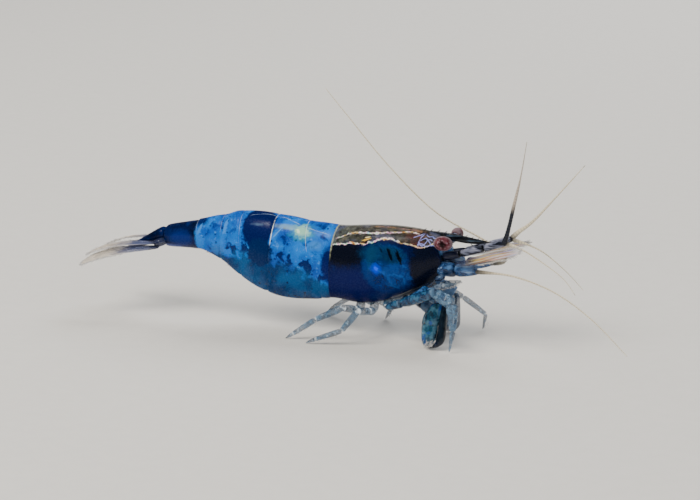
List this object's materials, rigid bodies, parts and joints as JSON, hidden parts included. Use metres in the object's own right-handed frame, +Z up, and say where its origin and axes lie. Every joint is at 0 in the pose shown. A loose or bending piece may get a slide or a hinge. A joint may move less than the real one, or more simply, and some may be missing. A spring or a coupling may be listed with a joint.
{
  "type": "aquarium shrimp",
  "caption": "Still, life-size model of a small blue and dark freshwater aquarium shrimp standing on its legs, feelers raised and tail fan closed.",
  "frame": {"origin": "on the floor, under the middle of the bounding box", "axes": "+X towards the head, +Y to the animal's left, +Z up"},
  "size_m": [0.0414, 0.014, 0.0158],
  "materials": {
    "carapace_shell": "thin glossy shell, near-black navy with a clear grey-brown back",
    "abdomen_shell": "thin glossy shell, translucent bright blue with navy patches",
    "fin_blade": "clear pale blade with a fringe of bristles",
    "eye": "wet, burgundy with a dark centre",
    "feeler": "thin, ringed, pale",
    "head_limb": "glossy, dark blue-grey, partly clear",
    "leg_shell": "clear blue-grey with pale joints",
    "soft_flesh": "dark blue flesh seen between the shell plates"
  },
  "bodies": {
    "root": {"abdomen_1": "abdomen_shell", "abdomen_2": "abdomen_shell", "abdomen_3": "abdomen_shell", "abdomen_4": "abdomen_shell", "abdomen_5": "abdomen_shell", "abdomen_6": "abdomen_shell", "antenna_base_left": "head_limb", "antenna_base_right": "head_limb", "antenna_left_1": "feeler", "antenna_left_2": "feeler", "antenna_right_1": "feeler", "antenna_right_2": "feeler", "antenna_scale_left": "fin_blade", "antenna_scale_right": "fin_blade", "antennule_inner_left": "feeler", "antennule_inner_right": "feeler", "antennule_left": "head_limb", "antennule_outer_left": "feeler", "antennule_outer_right": "feeler", "antennule_right": "head_limb", "carapace": "carapace_shell", "claw_1_left": "leg_shell", "claw_1_right": "leg_shell", "claw_2_left": "leg_shell", "claw_2_right": "leg_shell", "claw_arm_1_left": "leg_shell", "claw_arm_1_right": "leg_shell", "claw_arm_2_left": "leg_shell", "claw_arm_2_right": "leg_shell", "eye_left": "eye", "eye_right": "eye", "eyestalk_left": "head_limb", "eyestalk_right": "head_limb", "leg_3_left": "leg_shell", "leg_3_right": "leg_shell", "leg_4_left": "leg_shell", "leg_4_right": "leg_shell", "leg_5_left": "leg_shell", "leg_5_right": "leg_shell", "maxilliped_left": "head_limb", "maxilliped_right": "head_limb", "mouthparts": "head_limb", "swimmeret_1_left": "soft_flesh", "swimmeret_1_right": "soft_flesh", "swimmeret_2_left": "soft_flesh", "swimmeret_2_right": "soft_flesh", "swimmeret_3_left": "soft_flesh", "swimmeret_3_right": "soft_flesh", "swimmeret_4_left": "soft_flesh", "swimmeret_4_right": "soft_flesh", "swimmeret_5_left": "soft_flesh", "swimmeret_5_right": "soft_flesh", "telson": "abdomen_shell", "thorax": "soft_flesh", "uropod_inner_left": "fin_blade", "uropod_inner_right": "fin_blade", "uropod_outer_left": "fin_blade", "uropod_outer_right": "fin_blade"}
  },
  "joints": []
}
